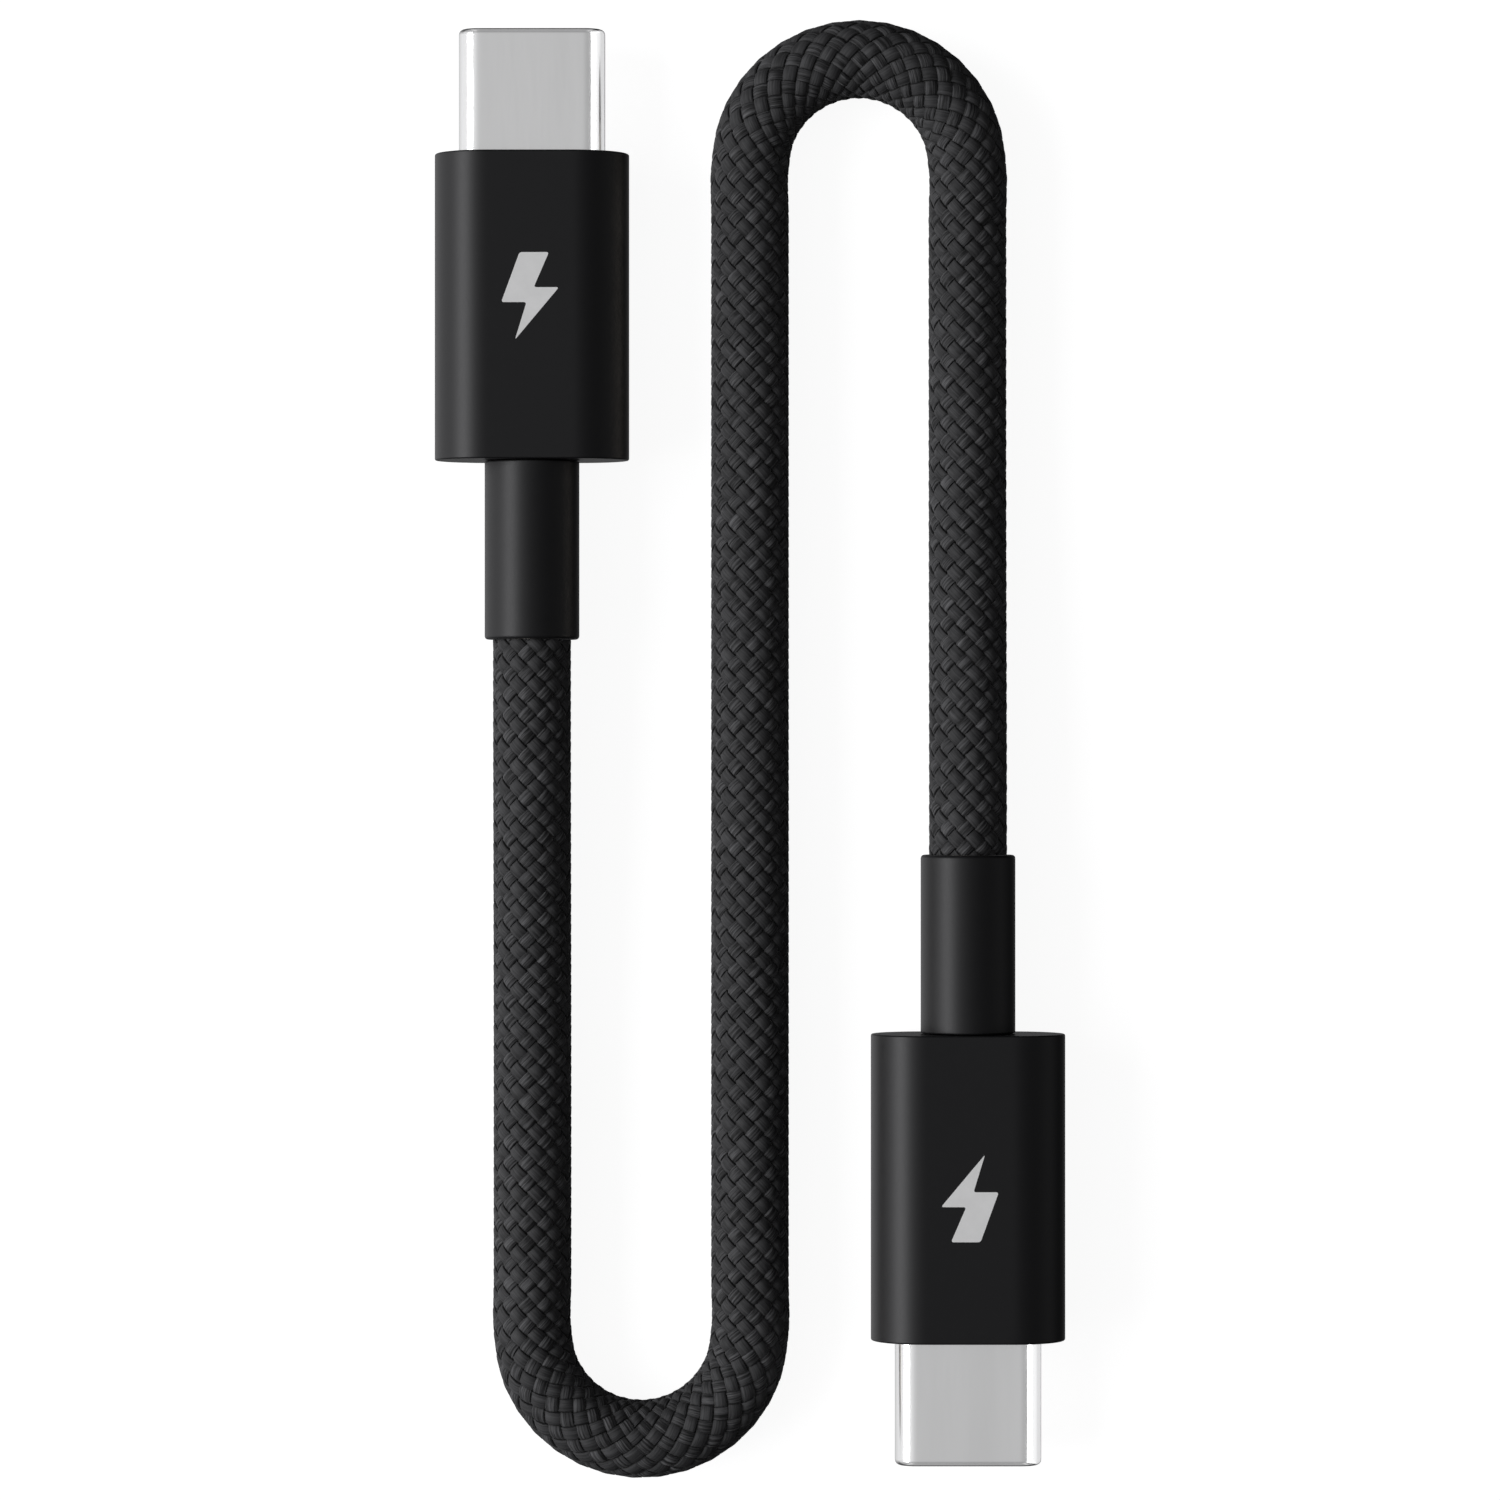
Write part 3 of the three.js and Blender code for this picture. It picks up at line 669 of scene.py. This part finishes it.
def contact_row(side):
    """Points and faces of one row of sprung contact beams; side is 1 above the tongue, -1 below."""
    half = CONTACT_THICKNESS / 2
    spine = np.array(
        [
            (-4.55, 0.41),
            (-3.85, 0.41),
            (-3.62, 0.5),
            (-3.4, 0.56),
            (0.6, 0.56),
            (1.2, 0.545),
            (2.2, 0.46),
            (3.0, 0.37),
            (3.35, 0.325),
            (3.55, 0.305),
            (3.7, 0.3),
            (3.82, 0.31),
            (3.95, 0.35),
            (4.1, 0.42),
        ]
    ) * mm
    slope = np.gradient(spine, axis=0)
    slope /= np.linalg.norm(slope, axis=1, keepdims=True)
    normal = np.stack([-slope[:, 1], slope[:, 0]], 1)
    taper = np.interp(spine[:, 0], [-3.6 * mm, 1 * mm, 3.4 * mm, 4.1 * mm], [1, 1, 0.8, 0.72])
    points, faces = [], []
    ease = CONTACT_EASE
    section = [
        (-1, -1 + ease),
        (-1, 1 - ease),
        (-1 + ease, 1),
        (1 - ease, 1),
        (1, 1 - ease),
        (1, -1 + ease),
        (1 - ease, -1),
        (-1 + ease, -1),
    ]
    for i in range(CONTACTS):
        middle = (i - (CONTACTS - 1) / 2) * CONTACT_PITCH
        base = i * len(spine) * CONTACT_CORNERS
        for (y, z), (ny, nz), share in zip(spine, normal, taper):
            for u, v in section:
                x = middle + u * share * CONTACT_WIDTH / 2
                points.append((x, y + v * half * ny, side * (z + v * half * nz)))
        faces.append(grid_faces(len(spine), CONTACT_CORNERS, False) + base)
    return np.array(points), np.concatenate(faces)


def capped(faces, sections, count):
    """The faces with each section's two open ends closed by strips of quads."""
    ends = []
    for start in sections:
        for i in range(count // 2 - 1):
            ends.append((start + i, start + i + 1, start + count - 2 - i, start + count - 1 - i))
    return np.concatenate([faces, np.array(ends)])


def bolt_outline():
    """A plain charging bolt, round at its corners, as points in the plug's X and Y."""
    corners = np.array(
        [
            (-0.35, 1.0),
            (0.62, 1.0),
            (0.12, 0.2),
            (0.95, 0.2),
            (-0.5, -1.0),
            (-0.12, -0.14),
            (-0.95, -0.14),
        ]
    ) * (MARK_WIDTH / 2, MARK_HEIGHT / 2)
    found = []
    for i, corner in enumerate(corners):
        before, after = corners[i - 1] - corner, corners[(i + 1) % len(corners)] - corner
        start = corner + before / np.linalg.norm(before) * MARK_CORNER
        end = corner + after / np.linalg.norm(after) * MARK_CORNER
        for share in np.linspace(0, 1, 7):
            found.append((1 - share) ** 2 * start + 2 * share * (1 - share) * corner + share**2 * end)
    return np.array(found)


def mark(name):
    """The printed bolt, a thin film on the housing's upper face."""
    shape = bolt_outline()
    curve = bpy.data.curves.new(name, "CURVE")
    curve.dimensions = "2D"
    curve.fill_mode = "BOTH"
    spline = curve.splines.new("POLY")
    spline.points.add(len(shape) - 1)
    for point, (x, y) in zip(spline.points, shape):
        point.co = (x, y, 0, 1)
    spline.use_cyclic_u = True
    curve.extrude = MARK_FILM / 2
    holder = bpy.data.objects.new(name + "_outline", curve)
    scene.collection.objects.link(holder)
    mesh = bpy.data.meshes.new_from_object(holder.evaluated_get(bpy.context.evaluated_depsgraph_get()))
    bpy.data.objects.remove(holder)
    mesh.materials.clear()
    mesh.materials.append(LOOKS["printed_mark"])
    made = bpy.data.objects.new(name, mesh)
    scene.collection.objects.link(made)
    return made


def placed(points, side):
    """Points from a plug's frame in the row frame; side is 1 for plug A and -1 for plug B."""
    return points * (side, side, 1) + (-side * PLUG_OUT, side * PLUG_FRONT, PLUG_AXIS)


def plug(name, side):
    """All the new pieces of one plug. All but the strain relief are put on the plug's body, and all but the
    mark stand in for a CAD node, which is hidden.
    """

    def skin(part, stations, count, look):
        points, faces = lofted(stations, count)
        return mesh_object(f"{name}_{part}", placed(points, side), faces, look)

    housing = skin("body", housing_stations(), RING_POINTS, "housing_plastic")
    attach(housing, name)
    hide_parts(name + "_housing")

    shell = skin("nose", shell_stations(), RING_POINTS, "shell_steel")
    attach(shell, name)
    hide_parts(name + "_shell")

    boot = skin("boot", boot_stations(), ROUND_POINTS, "boot_rubber")
    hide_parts(name + "_strain_relief")
    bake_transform(boot)

    for row, up in (("upper_contacts", 1), ("lower_contacts", -1)):
        points, faces = contact_row(up)
        beam = len(points) // CONTACTS
        starts = [i * beam + end for i in range(CONTACTS) for end in (0, beam - CONTACT_CORNERS)]
        faces = capped(faces, starts, CONTACT_CORNERS)
        piece = f"{name}_{row.replace('contacts', 'beams')}"
        beams = mesh_object(piece, placed(points, side), faces, "contact_gold")
        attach(beams, name)
        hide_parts(f"{name}_{row}")

    printed = mark(name + "_mark")
    printed.location = (
        -side * PLUG_OUT,
        side * (PLUG_FRONT + MARK_MIDDLE),
        PLUG_AXIS + HOUSING_THICKNESS / 2 + MARK_FILM / 2,
    )
    printed.rotation_euler.z = 0 if side > 0 else math.pi
    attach(printed, name)


plug("plug_a", 1)
plug("plug_b", -1)

# ---- CAD pieces that stay, inside the plugs and the cord --------------------------------------------
CARRIED = {
    "front_insulator": "dark_resin",
    "rear_insulator": "dark_resin",
    "latch_spring": "spring_steel",
    "upper_ground_spring": "spring_steel",
    "lower_ground_spring": "spring_steel",
    "circuit_board": "board_resin",
    "control_chip": "dark_resin",
    "upper_shield_can": "spring_steel",
    "lower_shield_can": "spring_steel",
    "inner_mould": "mould_resin",
    "crimp_ferrule": "tinned_copper",
    "sleeve_tail": "cut_yarn",
    "jacket_tail": "jacket_rubber",
    "shield_tail": "tinned_copper",
    "shield_braid": "tinned_copper",
    "power": "red_vinyl",
    "ground": "black_vinyl",
    "cc": "blue_vinyl",
    "data_plus": "green_vinyl",
    "data_minus": "white_vinyl",
}
for node_name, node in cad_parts.items():
    part = node_name
    for affix in ("plug_a_", "plug_b_"):
        part = part.removeprefix(affix)
    look = CARRIED.get(part) or CARRIED.get(part.removesuffix("_wire").removesuffix("_tail"))
    if look is None or node.hide_render:
        continue
    node.data.materials.clear()
    node.data.materials.append(LOOKS[look])

# ---- Floor, world and lights -----------------------------------------------------------------------
FLOOR_HALF = 3
FLOOR_LEVEL = -0.05 * mm  # just under the braid's lowest crests
FLOOR_GLOW = 0.93
floor = bpy.data.objects.new("floor", bpy.data.meshes.new("floor"))
corners = ((-1, -1), (1, -1), (1, 1), (-1, 1))
floor.data.from_pydata(
    [(x * FLOOR_HALF, y * FLOOR_HALF, FLOOR_LEVEL) for x, y in corners],
    [],
    [(0, 1, 2, 3)],
)
scene.collection.objects.link(floor)
paper = Nodes("floor")
paper.shader.inputs["Base Color"].default_value = (0.3, 0.3, 0.3, 1)
paper.shader.inputs["Roughness"].default_value = 0.9
paper.shader.inputs["Emission Color"].default_value = (1, 1, 1, 1)
paper.shader.inputs["Emission Strength"].default_value = FLOOR_GLOW
floor.data.materials.append(paper.material)
floor.visible_diffuse = False
floor.visible_glossy = False
floor.visible_shadow = False

# The studio round the cable, by angle from straight up: to the left it is bright, to the right dark.
STUDIO = [
    (-180, 0.45),
    (-135, 0.02),
    (-108, 0.04),
    (-95, 0.27),
    (-80, 0.3),
    (-60, 0.16),
    (-40, 0.1),
    (-15, 0.16),
    (0, 0.28),
    (30, 0.58),
    (60, 0.95),
    (90, 1.0),
    (110, 1.0),
    (150, 0.75),
    (180, 0.45),
]
BLUE = 1.02  # the studio's light is this much stronger in blue
ENDS_FROM = 0.05  # share of a direction that is along Y, from which the studio dims
ENDS_TO = 0.55  # and at which it is dimmest
ENDS_LEVEL = 0.1
world = bpy.data.worlds.new("studio")
scene.world = world
world.use_nodes = True
tree = world.node_tree
background = tree.nodes["Background"]
coordinates = tree.nodes.new("ShaderNodeTexCoord")
split = tree.nodes.new("ShaderNodeSeparateXYZ")
left = tree.nodes.new("ShaderNodeMath")
left.operation = "MULTIPLY"
left.inputs[1].default_value = -1
turn = tree.nodes.new("ShaderNodeMath")
turn.operation = "ARCTAN2"
share = tree.nodes.new("ShaderNodeMapRange")
share.inputs["From Min"].default_value = -math.pi
share.inputs["From Max"].default_value = math.pi
ramp = tree.nodes.new("ShaderNodeValToRGB")
north = tree.nodes.new("ShaderNodeMath")
north.operation = "ABSOLUTE"
fall = tree.nodes.new("ShaderNodeMapRange")  # the studio's two ends are dim
fall.inputs["From Min"].default_value = ENDS_FROM
fall.inputs["From Max"].default_value = ENDS_TO
fall.inputs["To Min"].default_value = 1
fall.inputs["To Max"].default_value = ENDS_LEVEL
dimmed = tree.nodes.new("ShaderNodeVectorMath")
dimmed.operation = "SCALE"
seen = tree.nodes.new("ShaderNodeLightPath")
shown = tree.nodes.new("ShaderNodeMix")
shown.data_type = "RGBA"
shown.inputs[7].default_value = (1, 1, 1, 1)
tree.links.new(coordinates.outputs["Generated"], split.inputs["Vector"])
tree.links.new(split.outputs["X"], left.inputs[0])
tree.links.new(left.outputs["Value"], turn.inputs[0])
tree.links.new(split.outputs["Z"], turn.inputs[1])
tree.links.new(turn.outputs["Value"], share.inputs["Value"])
tree.links.new(share.outputs["Result"], ramp.inputs["Fac"])
tree.links.new(seen.outputs["Is Camera Ray"], shown.inputs["Factor"])
tree.links.new(ramp.outputs["Color"], dimmed.inputs[0])
tree.links.new(split.outputs["Y"], north.inputs[0])
tree.links.new(north.outputs["Value"], fall.inputs["Value"])
tree.links.new(fall.outputs["Result"], dimmed.inputs["Scale"])
tree.links.new(dimmed.outputs["Vector"], shown.inputs[6])
tree.links.new(shown.outputs[2], background.inputs["Color"])
stops = ramp.color_ramp.elements
while len(stops) < len(STUDIO):
    stops.new(0.5)
for stop, (angle, level) in zip(stops, STUDIO):
    stop.position = (angle + 180) / 360
    stop.color = (level, level, BLUE * level, 1)


PANEL_DISTANCE = 0.8


def panel(name, angle, arc, length, radiance, receivers=None, heading=0):
    """A soft panel round the cable, at an angle from straight up towards the left, arc degrees wide.

    heading turns it about the vertical, so that 90 puts it off the end where plug B points.
    """
    light = bpy.data.lights.new(name, "AREA")
    light.shape = "RECTANGLE"
    light.size = 2 * PANEL_DISTANCE * math.tan(math.radians(arc / 2))
    light.size_y = length
    light.energy = radiance * math.pi * light.size * light.size_y
    light.color = (1, 1, BLUE)
    made = bpy.data.objects.new(name, light)
    angle = math.radians(angle)
    heading = math.radians(heading)
    out = -PANEL_DISTANCE * math.sin(angle)
    height = PANEL_DISTANCE * math.cos(angle)
    made.location = (out * math.cos(heading), out * math.sin(heading), height)
    made.rotation_euler = (0, -angle, heading)
    scene.collection.objects.link(made)
    if receivers:
        made.light_linking.receiver_collection = receivers
    return made


def receivers_of(name, *pieces):
    """A collection of the pieces that a panel lights."""
    found = bpy.data.collections.new(name)
    for piece in pieces:
        found.objects.link(bpy.data.objects[piece])
    return found


# Only the left softbox lights everything. The others light the steel noses, the marks or both.
panel("left_softbox", 53, 24, 0.7, 3.9)
shells = receivers_of("shells", "plug_a_nose", "plug_b_nose")
bright = receivers_of("bright", "plug_a_nose", "plug_b_nose", "plug_a_mark", "plug_b_mark")
panel("overhead", 0, 70, 1.6, 0.3, bright)
panel("right_softbox", -53, 24, 1.0, 2.6, shells)
panel("right_low", -108, 84, 1.6, 0.75, shells)
for heading in (45, 90, 135, -45, -90, -135):
    panel(f"end_{heading}", 75, 60, 0.8, 0.35, shells, heading)
marks = receivers_of("marks", "plug_a_mark", "plug_b_mark")
panel("mark_light", 0, 70, 1.6, 0.3, marks)
